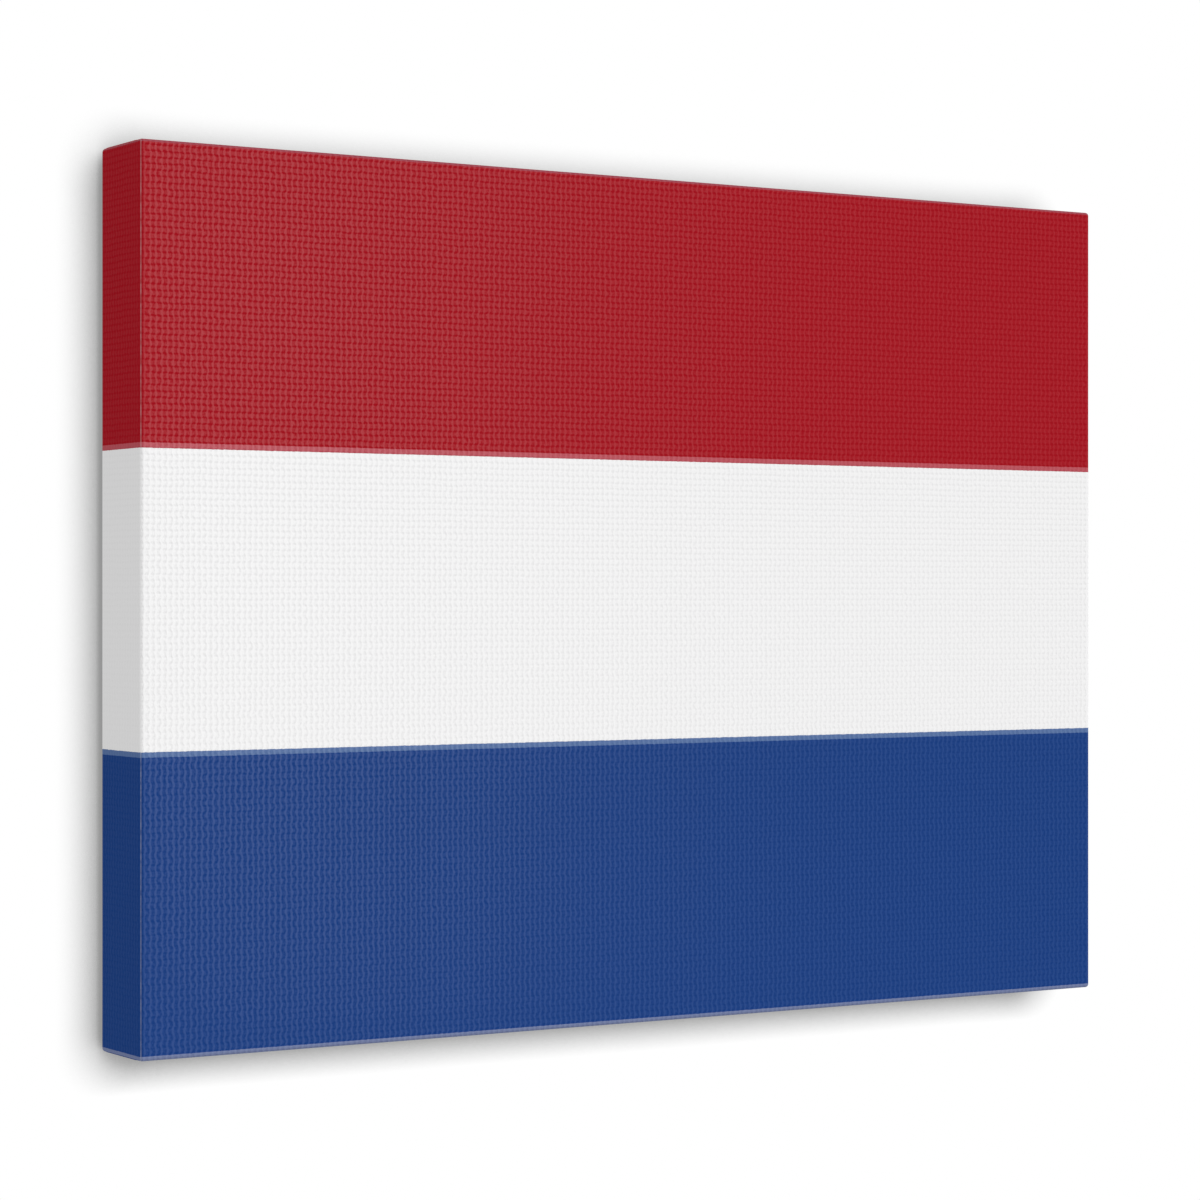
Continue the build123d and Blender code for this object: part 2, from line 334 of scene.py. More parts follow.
def sheet_coordinates(shader):
    """Distances along the unfolded sheet of fabric: across and up."""
    sheet = shader.node("ShaderNodeAttribute", {"attribute_name": "sheet"}).outputs["Vector"]
    parts = shader.node("ShaderNodeSeparateXYZ", Vector=sheet)
    return sheet, parts.outputs["X"], parts.outputs["Y"]


def plain_weave(shader, sheet, across, up):
    """A plain weave: its height, and how far a point is out of the gaps between threads, from 0 to 1.

    The upright threads are split in two and sway a little as they pass over and under the level threads.
    """
    drift = shader.math("SUBTRACT", shader.noise(sheet, 90.0, 2.0), 0.5)
    row = shader.math("DIVIDE", up, THREAD_PITCH)
    row = shader.math("SUBTRACT", row, shader.math("MULTIPLY", drift, ROW_DRIFT))
    sway = shader.math("MULTIPLY", shader.math("SINE", shader.math("MULTIPLY", row, math.pi)), COLUMN_SWAY)
    column = shader.math("MULTIPLY_ADD", drift, COLUMN_DRIFT, shader.math("DIVIDE", across, THREAD_PITCH))
    column = shader.math("ADD", column, sway)
    from_column = shader.math("SUBTRACT", shader.math("FRACT", column), 0.5)
    from_row = shader.math("SUBTRACT", shader.math("FRACT", row), 0.5)
    cell = shader.math("ADD", shader.math("FLOOR", column), shader.math("FLOOR", row))
    over = shader.math("MULTIPLY_ADD", shader.math("FLOORED_MODULO", cell, 2.0), -1.0, 0.5)
    round_column = shader.math("COSINE", shader.math("MULTIPLY", from_column, math.pi))
    round_row = shader.math("COSINE", shader.math("MULTIPLY", from_row, math.pi))
    off_half = shader.math("SUBTRACT", shader.math("ABSOLUTE", from_column), 0.25)
    halves = shader.math("COSINE", shader.math("MULTIPLY", off_half, 2 * math.pi))

    # Relief of the upright threads (warp) and the level threads (weft)
    warp = shader.math("MULTIPLY_ADD", halves, 0.25, shader.math("MULTIPLY", round_column, 0.45))
    warp = shader.math("MULTIPLY_ADD", shader.math("MULTIPLY", round_row, over), 0.35, warp)
    weft = shader.math("MULTIPLY", shader.math("MULTIPLY", round_column, over), -0.5)
    weft = shader.math("MULTIPLY", shader.math("MULTIPLY_ADD", round_row, 0.6, weft), 0.72)

    # Where light catches the threads
    stroke = shader.math("COSINE", shader.math("MULTIPLY", from_column, 2 * math.pi))
    lit = shader.math("MULTIPLY", stroke, shader.math("MULTIPLY_ADD", stroke, 0.36, 0.44))

    # The gaps between level threads show less in the blue stripe.
    rows_show = shader.between(up, BLUE_TOP, RED_BOTTOM, 0.4, 1.0)
    inside_row = shader.between(shader.math("ABSOLUTE", from_row), 0.5, 0.22, -0.51, 0.19)
    lit = shader.math("ADD", lit, shader.math("MULTIPLY_ADD", inside_row, rows_show, 0.33))
    lit = shader.math("MULTIPLY_ADD", over, 0.12, lit)

    fluff = shader.math("SUBTRACT", shader.noise(sheet, 1150.0, 1.0), 0.5)
    lit = shader.math("MULTIPLY_ADD", fluff, 1.3, lit, clamp=True)
    return shader.math("SMOOTH_MAX", warp, weft, 0.12), lit


def striped_print(shader, sheet, up):
    """The ink at each height: three stripes, with a paler band at the edges of the colours."""
    bleed = shader.math("SUBTRACT", shader.noise(sheet, 700.0, 2.0), 0.5)
    height = shader.math("MULTIPLY_ADD", bleed, INK_BLEED, up)
    stripes = (
        (-BAND_PAST_FOLD, LAVENDER_BAND),
        (BOTTOM_BAND, BLUE_INK),
        (BLUE_TOP - BAND, PALE_BLUE_BAND),
        (BLUE_TOP, PAPER_WHITE),
        (RED_BOTTOM, PINK_BAND),
        (RED_BOTTOM + BAND, RED_INK),
        (HEIGHT - TOP_BAND, MAUVE_BAND),
        (HEIGHT + BAND_PAST_FOLD, RED_INK),
    )
    colour = BLUE_INK
    for level, ink in stripes:
        colour = shader.mix(shader.math("GREATER_THAN", height, level), colour, ink)
    return colour


def printed_canvas():
    """Matt primed fabric with an inkjet print. The crowns of the threads have a faint sheen."""
    shader = Shader("printed_canvas")
    sheet, across, up = sheet_coordinates(shader)
    height, crown = plain_weave(shader, sheet, across, up)
    colour = striped_print(shader, sheet, up)

    # How far a point is past the folds round the sides and the ends, along the fabric
    past_side = shader.math("SUBTRACT", shader.math("ABSOLUTE", across), HALF_WIDTH)
    from_middle = shader.math("SUBTRACT", up, HALF_HEIGHT)
    past_end = shader.math("SUBTRACT", shader.math("ABSOLUTE", from_middle), HALF_HEIGHT)
    past_fold = shader.math("MAXIMUM", past_side, past_end)

    # Painted highlight: a paler line along the upright folds, mixed towards the paper white
    on_fold = shader.between(shader.math("ABSOLUTE", past_side), FOLD_HIGHLIGHT_REACH, FOLD_HIGHLIGHT_CORE)
    fold_highlight = shader.between(shader.noise(sheet, 300.0), 0.35, 0.6, 0.08, 0.20)
    colour = shader.mix(shader.math("MULTIPLY", on_fold, fold_highlight), colour, PAPER_WHITE)

    unprinted = shader.math("SUBTRACT", past_fold, DEPTH + PRINT_OVER_BACK)
    colour = shader.mix(shader.between(unprinted, -PRINT_EDGE, PRINT_EDGE), colour, PRIMED_CANVAS)

    # Painted shade in the gaps between threads, and denser ink in them
    depth_of_weave = shader.between(past_fold, 0.0, WEAVE_FADE, 1.0, DEPTH_PAST_FOLD)
    gap = shader.math("MULTIPLY", shader.between(crown, 0.6, 0.0, 0.0, GAP_SHADE), depth_of_weave)
    colour = shader.mix(gap, colour, THREAD_GAP_SHADE, "MULTIPLY")
    pooled = shader.math("MULTIPLY", shader.math("SUBTRACT", 0.5, crown), depth_of_weave)
    density = shader.math("MULTIPLY_ADD", pooled, INK_DENSITY, 1.0)
    colour = shader.node("ShaderNodeGamma", Color=colour, Gamma=density).outputs[0]

    fibre = shader.noise(sheet, 2500.0, 2.0)
    relief = shader.math("MULTIPLY_ADD", fibre, 0.12, height)
    sheen = shader.between(past_fold, -SHEEN_BLEND, SHEEN_BLEND, FRONT_SHEEN, SIDE_SHEEN)
    shader.set(
        Base_Color=colour,
        Roughness=0.8,
        Specular_IOR_Level=0.0,
        Coat_Weight=shader.math("MULTIPLY", crown, sheen),
        Coat_Roughness=SHEEN_ROUGHNESS,
        Normal=shader.bump(relief, WEAVE_RELIEF, depth_of_weave),
    )
    return shader.material


def raw_canvas():
    """The unprinted back of the fabric and its cut edge, in natural cotton."""
    shader = Shader("raw_canvas")
    sheet, across, up = sheet_coordinates(shader)
    height, _ = plain_weave(shader, sheet, across, up)
    slubs = shader.noise(sheet, 260.0, 5.0, 0.7)
    colour = shader.mix(shader.between(slubs, 0.3, 0.75), RAW_CANVAS, RAW_SLUB)
    # Painted shade in the gaps between the threads
    colour = shader.mix(shader.between(height, 0.45, 0.1, 0.0, 0.45), colour, RAW_GAP_SHADE, "MULTIPLY")
    shader.set(
        Base_Color=colour,
        Roughness=0.85,
        Specular_IOR_Level=0.25,
        Sheen_Weight=0.25,
        Sheen_Roughness=0.5,
        Normal=shader.bump(height, BACK_RELIEF),
    )
    return shader.material


def wood(name, length_axis, pith, early, late, ring_width, knot=None):
    """Sawn timber. Growth rings circle a pith line along the grain, so faces and end grain agree."""
    shader = Shader(name)
    place = shader.place()

    def along_grain(lengthwise, crosswise):
        """Object coordinates for noise that is drawn out along the grain."""
        return shader.place([lengthwise if axis == length_axis else crosswise for axis in range(3)])

    # Distance from the pith, a little uneven, and bent round the knot
    parts = shader.node("ShaderNodeSeparateXYZ", Vector=place)
    squares = []
    for axis in range(3):
        if axis != length_axis:
            offset = shader.math("SUBTRACT", parts.outputs[axis], pith[axis])
            squares.append(shader.math("MULTIPLY", offset, offset))
    radius = shader.math("SQRT", shader.math("ADD", *squares))
    wander = shader.noise(along_grain(2.0, 9.0), 2.0, 3.0)
    ripple = shader.noise(along_grain(14.0, 60.0), 3.0, 2.0)
    radius = shader.math("MULTIPLY_ADD", wander, RING_WANDER, radius)
    radius = shader.math("MULTIPLY_ADD", ripple, RING_RIPPLE, radius)
    if knot is not None:
        distance = shader.node("ShaderNodeVectorMath", {"operation": "DISTANCE"})
        shader.feed(distance.inputs[0], place)
        shader.feed(distance.inputs[1], knot)
        uneven_edge = shader.noise(place, 260.0, 3.0)
        away = shader.math("MULTIPLY_ADD", uneven_edge, KNOT_UNEVEN, distance.outputs["Value"])
        bulge = shader.between(away, KNOT_BULGE_REACH, KNOT_BULGE_START, 0.0, KNOT_BULGE)
        radius = shader.math("ADD", radius, bulge)

    # Growth rings of uneven width, each with its own depth of tone
    rings = shader.math("DIVIDE", radius, ring_width)
    uneven = shader.node("ShaderNodeTexNoise", {"noise_dimensions": "1D"}, W=rings, Scale=0.45, Detail=2.0)
    rings = shader.math("MULTIPLY_ADD", uneven.outputs["Fac"], 3.0, rings)
    ring = shader.math("FRACT", rings)
    dice = shader.node("ShaderNodeTexWhiteNoise", {"noise_dimensions": "1D"}, W=shader.math("FLOOR", rings))
    depth_of_tone = shader.between(dice.outputs["Value"], 0.0, 1.0, 0.12, 0.62)
    latewood = shader.math("MULTIPLY", shader.between(ring, 0.45, 0.97), shader.between(ring, 1.0, 0.97))
    latewood = shader.math("MULTIPLY", latewood, depth_of_tone)

    # Fibres, flecks and broad changes of tone
    fibre = shader.noise(along_grain(30.0, 900.0), 2.0, 3.0, 0.65)
    flecks = shader.noise(along_grain(70.0, 2200.0), 1.0, 2.0, 0.6)
    tone = shader.noise(along_grain(4.0, 24.0), 1.5, 2.0)
    colour = shader.mix(latewood, early, late)
    colour = shader.mix(shader.between(fibre, 0.4, 0.75, 0.0, 0.28), colour, late)
    colour = shader.mix(shader.between(flecks, 0.6, 0.72, 0.0, 0.35), colour, WOOD_FLECK)
    colour = shader.mix(shader.between(tone, 0.3, 0.7, 0.0, 0.5), colour, WOOD_TONE, "MULTIPLY")
    if knot is not None:
        knot_ring = shader.math("FRACT", shader.math("DIVIDE", away, KNOT_RING))
        heart = shader.mix(knot_ring, KNOT_PALE, KNOT_DARK)
        rim = shader.between(away, KNOT_HEART, KNOT_RADIUS)
        heart = shader.mix(rim, heart, KNOT_RIM)
        colour = shader.mix(shader.between(away, KNOT_SOFT_EDGE, KNOT_RADIUS), colour, heart)
    shader.set(
        Base_Color=colour,
        Roughness=shader.between(fibre, 0.3, 0.7, 0.58, 0.72),
        Specular_IOR_Level=0.3,
        Normal=shader.bump(shader.math("ADD", fibre, flecks), 0.05 * MM, 0.7),
    )
    return shader.material


def metal(name, colour, dull, roughness, speckle_scale, dent):
    """Plated steel with faint blotches in its colour, its shine and its surface."""
    shader = Shader(name)
    blotch = shader.noise(shader.place(), speckle_scale, 4.0, 0.6)
    scratches = shader.noise(shader.place((1.0, 1.0, 6.0)), speckle_scale * 5, 2.0)
    shader.set(
        Base_Color=shader.mix(shader.between(blotch, 0.35, 0.7), colour, dull),
        Metallic=1.0,
        Roughness=shader.between(blotch, 0.3, 0.75, roughness * 0.75, roughness * 1.35),
        Normal=shader.bump(scratches, dent, 0.5),
    )
    return shader.material


def rubber():
    """Soft matt rubber with a fine moulded grain."""
    shader = Shader("bumper_rubber")
    grain = shader.noise(shader.place(), 2600.0, 3.0)
    dust = shader.noise(shader.place(), 220.0, 4.0, 0.6)
    shader.set(
        Base_Color=shader.mix(shader.between(dust, 0.4, 0.8), BLACK_RUBBER, DUSTY_RUBBER),
        Roughness=shader.between(grain, 0.3, 0.7, 0.62, 0.8),
        Specular_IOR_Level=0.4,
        Normal=shader.bump(grain, 0.05 * MM),
    )
    return shader.material


# ---------------------------------------------------------------- meshes


def mesh_object(name, points, faces, materials, sheet=None):
    """A mesh object. sheet holds, for each corner of each face, its place on the unfolded fabric."""
    mesh = bpy.data.meshes.new(name)
    mesh.from_pydata([tuple(point) for point in points], [], faces)
    for material in materials:
        mesh.materials.append(material)
    mesh.polygons.foreach_set("use_smooth", [True] * len(mesh.polygons))
    if sheet is not None:
        attribute = mesh.attributes.new("sheet", "FLOAT_VECTOR", "CORNER")
        attribute.data.foreach_set("vector", np.asarray(sheet, np.float32).ravel())
    mesh.validate()
    made = bpy.data.objects.new(name, mesh)
    bpy.context.scene.collection.objects.link(made)
    return made


def apply_modifiers(target):
    """Replaces the mesh with the one its modifiers make."""
    depsgraph = bpy.context.evaluated_depsgraph_get()
    mesh = bpy.data.meshes.new_from_object(target.evaluated_get(depsgraph), depsgraph=depsgraph)
    target.modifiers.clear()
    target.data = mesh


def thicken(target, thickness, inner_slot=0):
    """Gives a sheet its thickness, inwards from the outer surface."""
    solid = target.modifiers.new("thickness", "SOLIDIFY")
    solid.thickness = thickness
    solid.offset = -1.0
    solid.material_offset = inner_slot
    solid.material_offset_rim = inner_slot
    apply_modifiers(target)


def join(objects):
    """Joins objects into the first one."""
    with bpy.context.temp_override(active_object=objects[0], selected_editable_objects=objects):
        bpy.ops.object.join()


def tube(path, radius, sides):
    """Points and faces of a round tube along a path of points, closed at both ends."""
    path = np.asarray(path, float)
    tangents = np.gradient(path, axis=0)
    tangents /= np.linalg.norm(tangents, axis=1)[:, None]
    across = np.cross(tangents[0], (0.3, 1.0, 0.2))
    points = []
    for point, tangent in zip(path, tangents):
        across = across - tangent * (across @ tangent)
        across /= np.linalg.norm(across)
        other = np.cross(tangent, across)
        for turn in range(sides):
            angle = 2 * math.pi * turn / sides
            points.append(point + radius * (across * math.cos(angle) + other * math.sin(angle)))
    faces = []
    for i in range(len(path) - 1):
        for turn in range(sides):
            follow = (turn + 1) % sides
            a, b = i * sides, (i + 1) * sides
            faces.append([a + turn, a + follow, b + follow, b + turn])
    faces.append(list(reversed(range(sides))))
    faces.append([(len(path) - 1) * sides + turn for turn in range(sides)])
    return points, faces


def staple_crowns(bar):
    """The crown of each staple in one bar's row on the back, as (x, z, half its width, half its height)."""
    run = 0 if bar in ("top", "bottom") else 2
    crowns = sorted(
        ((v.co.x, v.co.y, v.co.z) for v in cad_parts[f"staples_{bar}"].data.vertices if v.co.y > BACK_Y),
        key=lambda point: point[run],
    )
    groups = [[crowns[0]]]
    for point in crowns[1:]:
        if point[run] - groups[-1][-1][run] > STAPLE_GAP:
            groups.append([])
        groups[-1].append(point)
    found = []
    for group in groups:
        low, high = np.min(group, axis=0), np.max(group, axis=0)
        middle, half = (low + high) / 2, (high - low) / 2
        found.append((middle[0] - CENTRE.x, middle[2] - CENTRE.z, half[0], half[2]))
    return found


STAPLES = np.array([crown for bar in BARS for crown in staple_crowns(bar)])


def perlin(x, z, size, seed):
    """Smooth noise between about -1 and 1, with features of the given size."""
    places = zip(np.ravel(x) / size, np.ravel(z) / size)
    return np.array([noise.noise(Vector((a, b, seed))) for a, b in places])


def smooth(value):
    """A smooth step from 0 to 1 as value goes from 0 to 1."""
    value = np.clip(value, 0, 1)
    return value * value * (3 - 2 * value)


def staple_press(x, z, reach=STAPLE_GRIP):
    """1 under and close beside a staple's crown, falling to 0 away from it."""
    beside_x = np.maximum(np.abs(x[:, None] - STAPLES[None, :, 0]) - STAPLES[None, :, 2], 0)
    beside_z = np.maximum(np.abs(z[:, None] - STAPLES[None, :, 1]) - STAPLES[None, :, 3], 0)
    nearest = np.min(np.hypot(beside_x, beside_z), axis=1)
    return np.exp(-((np.maximum(nearest - STAPLE_FLAT, 0) / reach) ** 2))


def flap_lift(x, z):
    """How far the flap's outer surface stands off the bars at the back, away from the staples' pull."""
    from_edge = np.minimum(HALF_WIDTH - np.abs(x), HALF_HEIGHT - np.abs(z))
    towards_cut = np.clip(from_edge / FLAP_WIDTH, 0, 1)
    waves = 0.6 + 0.4 * perlin(x, z, FLAP_WAVE, 3.0)
    off_corner = smooth((HALF_WIDTH - np.abs(x) - FLAP_WIDTH) / FLAP_CORNER_SIDE)
    off_corner *= smooth((HALF_HEIGHT - np.abs(z) - FLAP_CORNER_START) / FLAP_CORNER_END)
    free = np.minimum(off_corner + FLAP_CORNER_LIFT, 1)
    return FLAP_LIFT * towards_cut**2 * waves * (1 - staple_press(x, z)) * free


def lattice_lines(half):
    """Grid lines from edge to edge: close round the edges, fine beside them, coarse in the middle."""
    turn = [EDGE_RADIUS * (1 - math.tan(math.radians(angle))) for angle in (45, 30, 15, 0)]
    fine_end = min(FINE_BAND, half)
    fine = np.arange(EDGE_RADIUS + FINE_STEP, fine_end, FINE_STEP)
    distances = list(turn) + list(fine)
    if half > FINE_BAND:
        count = int((half - distances[-1]) / COARSE_STEP)
        distances += list(np.linspace(distances[-1], half, count + 2)[1:-1])
    low = [-half + d for d in distances]
    return np.array(low + [0.0] + [-value for value in reversed(low)])


def snap_line(lines, value):
    """Moves the nearest grid line to a value, and its mirror image to minus that value."""
    nearest = int(np.argmin(np.abs(lines - value)))
    lines[nearest] = value
    lines[len(lines) - 1 - nearest] = -value


def sheet_point(face, x, y, z):
    """The unfolded place of a point on one face of the canvas. Folding out keeps the weave continuous."""
    back = y + HALF_DEPTH
    if face == "front":
        return (x, z + HALF_HEIGHT, 0)
    if face == "side":
        return (math.copysign(HALF_WIDTH + back, x), z + HALF_HEIGHT, 0)
    if face == "end":
        return (x, HALF_HEIGHT + math.copysign(HALF_HEIGHT + back, z), 0)
    if face == "side_flap":
        return (math.copysign(2 * HALF_WIDTH + DEPTH - abs(x), x), z + HALF_HEIGHT, 0)
    return (x, HALF_HEIGHT + math.copysign(2 * HALF_HEIGHT + DEPTH - abs(z), z), 0)


def canvas_shell():
    """The fabric's outer surface as a rounded box with the back left open between the flaps."""
    xs, ys, zs = lattice_lines(HALF_WIDTH), lattice_lines(HALF_DEPTH), lattice_lines(HALF_HEIGHT)
    snap_line(xs, HALF_WIDTH - FLAP_WIDTH)
    snap_line(zs, HALF_HEIGHT - FLAP_WIDTH)
    index, sharp, faces, sheet = {}, [], [], []

    def corner(i, j, k):
        """The number of the point at one crossing of the grid lines."""
        if (i, j, k) not in index:
            index[(i, j, k)] = len(sharp)
            sharp.append((xs[i], ys[j], zs[k]))
        return index[(i, j, k)]

    def add(face, corners):
        """Adds a quad on one face of the canvas, with its place on the sheet."""
        faces.append([corner(*c) for c in corners])
        sheet.extend(sheet_point(face, xs[i], ys[j], zs[k]) for i, j, k in corners)

    last_x, last_y, last_z = len(xs) - 1, len(ys) - 1, len(zs) - 1
    for i in range(last_x):
        for k in range(last_z):
            add("front", [(i, 0, k), (i + 1, 0, k), (i + 1, 0, k + 1), (i, 0, k + 1)])
            middle_x = abs(xs[i] + xs[i + 1]) / 2
            middle_z = abs(zs[k] + zs[k + 1]) / 2
            if middle_x > HALF_WIDTH - FLAP_WIDTH or middle_z > HALF_HEIGHT - FLAP_WIDTH:
                face = "side_flap" if middle_x > HALF_WIDTH - FLAP_WIDTH else "end_flap"
                add(face, [(i, last_y, k), (i, last_y, k + 1), (i + 1, last_y, k + 1), (i + 1, last_y, k)])
    for j in range(last_y):
        for k in range(last_z):
            add("side", [(0, j, k), (0, j, k + 1), (0, j + 1, k + 1), (0, j + 1, k)])
            add("side", [(last_x, j, k), (last_x, j + 1, k), (last_x, j + 1, k + 1), (last_x, j, k + 1)])
        for i in range(last_x):
            add("end", [(i, j, 0), (i, j + 1, 0), (i + 1, j + 1, 0), (i + 1, j, 0)])
            add("end", [(i, j, last_z), (i + 1, j, last_z), (i + 1, j + 1, last_z), (i, j + 1, last_z)])
    return np.array(sharp), faces, sheet


def round_edges(sharp):
    """Rounded-box places and outward normals for points on a sharp box centred on the origin."""
    inner = np.array([HALF_WIDTH, HALF_DEPTH, HALF_HEIGHT]) - EDGE_RADIUS
    core = np.clip(sharp, -inner, inner)
    normals = sharp - core
    normals /= np.linalg.norm(normals, axis=1)[:, None]
    return core + EDGE_RADIUS * normals, normals


def relax_fabric(points, normals):
    """Small shapes of taut cloth: a slight sag in front, soft waves on the sides, lifted flaps behind."""
    x, y, z = points.T
    facing_front = np.clip(-normals[:, 1], 0, 1)
    facing_back = np.clip(normals[:, 1], 0, 1)
    facing_out = np.clip(1 - facing_front - facing_back, 0, 1)
    inside_x = smooth((HALF_WIDTH - np.abs(x) - LIP_WIDTH) / SAG_RUN_IN)
    inside_z = smooth((HALF_HEIGHT - np.abs(z) - LIP_WIDTH) / SAG_RUN_IN)
    sag = SAG * inside_x * inside_z * (1 + 0.25 * perlin(x, z, SAG_WAVE, 1.0))
    ripples = RIPPLE * perlin(x + y, z + y, RIPPLE_WAVE, 2.0)
    amount = -facing_front * sag + facing_out * ripples + facing_back * flap_lift(x, z)
    moved = points + normals * amount[:, None]
    from_edge_x = HALF_WIDTH - np.abs(x)
    from_edge_z = HALF_HEIGHT - np.abs(z)
    near_cut_x = smooth((from_edge_x - CUT_ZONE_START) / CUT_ZONE_RUN) * (from_edge_x < FLAP_WIDTH + MM)
    near_cut_z = smooth((from_edge_z - CUT_ZONE_START) / CUT_ZONE_RUN) * (from_edge_z < FLAP_WIDTH + MM)
    wobble_x = CUT_WOBBLE * perlin(z, np.zeros_like(z), CUT_WAVE, 5.0)
    wobble_z = CUT_WOBBLE * perlin(x, np.zeros_like(x), CUT_WAVE, 7.0)
    moved[:, 0] += np.sign(x) * facing_back * near_cut_x * wobble_x
    moved[:, 2] += np.sign(z) * facing_back * near_cut_z * wobble_z
    return moved


def pleat(side, end):
    """The folded corner: spare fabric turned under the top or bottom side and carried over onto the back.

    The spare layers lie under a triangle that widens from the front corner, and they make the corner stand
    a little proud, most of all at the folded edge.
    """
    flat_length = DEPTH - 2 * EDGE_RADIUS
    arc_length = EDGE_RADIUS * math.pi / 2
    total = flat_length + arc_length + FLAP_WIDTH - EDGE_RADIUS
    reach = DEPTH + PLEAT_MARGIN
    steps = np.linspace(0, total, int(total / PLEAT_STEP))
    in_from_side = np.linspace(PLEAT_EDGE, reach, int(reach / PLEAT_STEP))
    slope = PLEAT_SLOPE * (1 + 2 * in_from_side / DEPTH)
    points, sheet_at = [], []
    for s in steps:
        turn = min(max((s - flat_length) / arc_length, 0), 1)
        angle = turn * math.pi / 2
        over_back = max(s - flat_length - arc_length, 0)
        along_side = min(s, flat_length)
        normal = np.array([0, math.sin(angle), end * math.cos(angle)])
        y = -HALF_DEPTH + EDGE_RADIUS + along_side + EDGE_RADIUS * math.sin(angle)
        z = end * (HALF_HEIGHT - EDGE_RADIUS + EDGE_RADIUS * math.cos(angle) - over_back)
        row = np.array([[side * (HALF_WIDTH - a), y, z] for a in in_from_side])
        covered = smooth((y + HALF_DEPTH - in_from_side) / slope + 0.5)
        proud = PLEAT_RISE * (1 - 0.8 * in_from_side / reach) * min(s / PLEAT_RUN_IN, 1)
        rise = (proud + PLEAT_SUNK) * covered - PLEAT_SUNK
        rise -= PLEAT_ROLL * np.exp(-(((in_from_side - PLEAT_EDGE) / PLEAT_ROLL_WIDTH) ** 2))
        on_back = smooth(turn)
        pressed = PLEAT_PRESSED * on_back * staple_press(row[:, 0], row[:, 2], PLEAT_STAPLE_GRIP)
        rise = rise * (1 - pressed) + on_back * flap_lift(row[:, 0], row[:, 2])
        points.extend(row + normal * rise[:, None])
        folded_out = EDGE_RADIUS + along_side + 2 * EDGE_RADIUS * turn + over_back
        up = HALF_HEIGHT + end * (HALF_HEIGHT + folded_out)
        sheet_at.extend((x, up, 0) for x in row[:, 0])
    columns = len(in_from_side)
    faces, sheet = [], []
    for i in range(len(steps) - 1):
        for j in range(columns - 1):
            quad = [i * columns + j, i * columns + j + 1, (i + 1) * columns + j + 1, (i + 1) * columns + j]
            if side * end > 0:
                quad.reverse()
            faces.append(quad)
            sheet.extend(sheet_at[q] for q in quad)
    return np.array(points), faces, sheet


def frayed_threads():
    """Short loose ends of thread along the flaps' cut edges, as points and faces."""
    dice = np.random.default_rng(FRAY_SEED)
    points, faces = [], []
    for along_x in (True, False):
        half_run = (HALF_WIDTH if along_x else HALF_HEIGHT) - FLAP_WIDTH - FRAY_MARGIN
        half_rise = HALF_HEIGHT if along_x else HALF_WIDTH
        for end in (-1, 1):
            for place in np.arange(-half_run, half_run, FRAY_SPACING):
                start = place + dice.uniform(0, FRAY_SPACING)
                length = dice.uniform(*FRAY_LENGTHS)
                drift = dice.uniform(-FRAY_DRIFT, FRAY_DRIFT) * length
                curl = dice.uniform(-FRAY_CURL, FRAY_CURL) * length
                line = []
                for t in np.linspace(0, 1, FRAY_STEPS):
                    run = start + drift * t + curl * math.sin(math.pi * t)
                    rise = end * (half_rise - FLAP_WIDTH + FRAY_TUCKED - (length + FRAY_TUCKED) * t)
                    line.append((run, 0, rise) if along_x else (rise, 0, run))
                line = np.array(line)
                off_bar = flap_lift(line[:1, 0], line[:1, 2])[0]
                line[:, 1] = HALF_DEPTH - FABRIC / 2 + off_bar * np.linspace(1, 0.2, FRAY_STEPS)
                more, quads = tube(line, FRAY_RADIUS, FRAY_SIDES)
                faces.extend([index + len(points) for index in quad] for quad in quads)
                points.extend(more)
    return np.array(points), faces


def canvas_fabric(printed, raw):
    """The whole sheet of fabric: the shell with its thickness, and the four folded corners."""
    sharp, faces, sheet = canvas_shell()
    points, normals = round_edges(sharp)
    relaxed = relax_fabric(points, normals) + np.array(CENTRE)
    shell = mesh_object("canvas_fabric", relaxed, faces, [printed, raw], sheet)
    thicken(shell, FABRIC, inner_slot=1)
    folds = []
    for side in (-1, 1):
        for end in (-1, 1):
            points, faces, sheet = pleat(side, end)
            fold = mesh_object("fold", points + np.array(CENTRE), faces, [printed, raw], sheet)
            thicken(fold, FABRIC, inner_slot=0)
            folds.append(fold)
    points, faces = frayed_threads()
    unwoven = np.zeros((sum(len(face) for face in faces), 3))
    threads = mesh_object("threads", points + np.array(CENTRE), faces, [printed, raw], unwoven)
    threads.data.polygons.foreach_set("material_index", [1] * len(faces))
    join([shell] + folds + [threads])
    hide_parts("canvas")
    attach(shell, "frame")


def wire_path():
    """The wire's centre line from the left ring to the right ring, with a loop round each ring."""
    ring_low, ring_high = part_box("hanger_ring_left")
    wire_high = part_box("picture_wire")[1]
    ring_wire = (ring_high.y - ring_low.y) / 2
    ring_radius = (ring_high.x - ring_low.x) / 2 - ring_wire
    wire_radius = STRAND_RADIUS + STRAND_ORBIT
    ring_middle = (ring_low + ring_high) / 2
    ring_middle.z = ring_high.z - ring_wire - ring_radius
    apex = Vector((0, ring_middle.y, wire_high.z - wire_radius))
    out = (apex - ring_middle).normalized()
    loop = ring_wire + wire_radius + LOOP_CLEARANCE
    knot = ring_middle + out * ring_radius
    depth = Vector((0, 1, 0))
    turns = np.linspace(0, 2 * math.pi, LOOP_STEPS)
    left = [knot + out * (loop * math.cos(a)) - depth * (loop * math.sin(a)) for a in turns[:-1]]
    start = knot + out * loop
    left += [start.lerp(apex, t) for t in np.linspace(0, 1, STRAIGHT_STEPS)]
    right = [Vector((-p.x, p.y, p.z)) for p in reversed(left)]
    path = np.array(left + right[1:])

    # Round off the peak
    first = len(path) // 2 - PEAK_STEPS
    last = len(path) // 2 + PEAK_STEPS + 1
    for _ in range(PEAK_SMOOTHINGS):
        path[first:last] = (path[first - 1 : last - 1] + path[first:last] + path[first + 1 : last + 1]) / 3
    return path, start, out


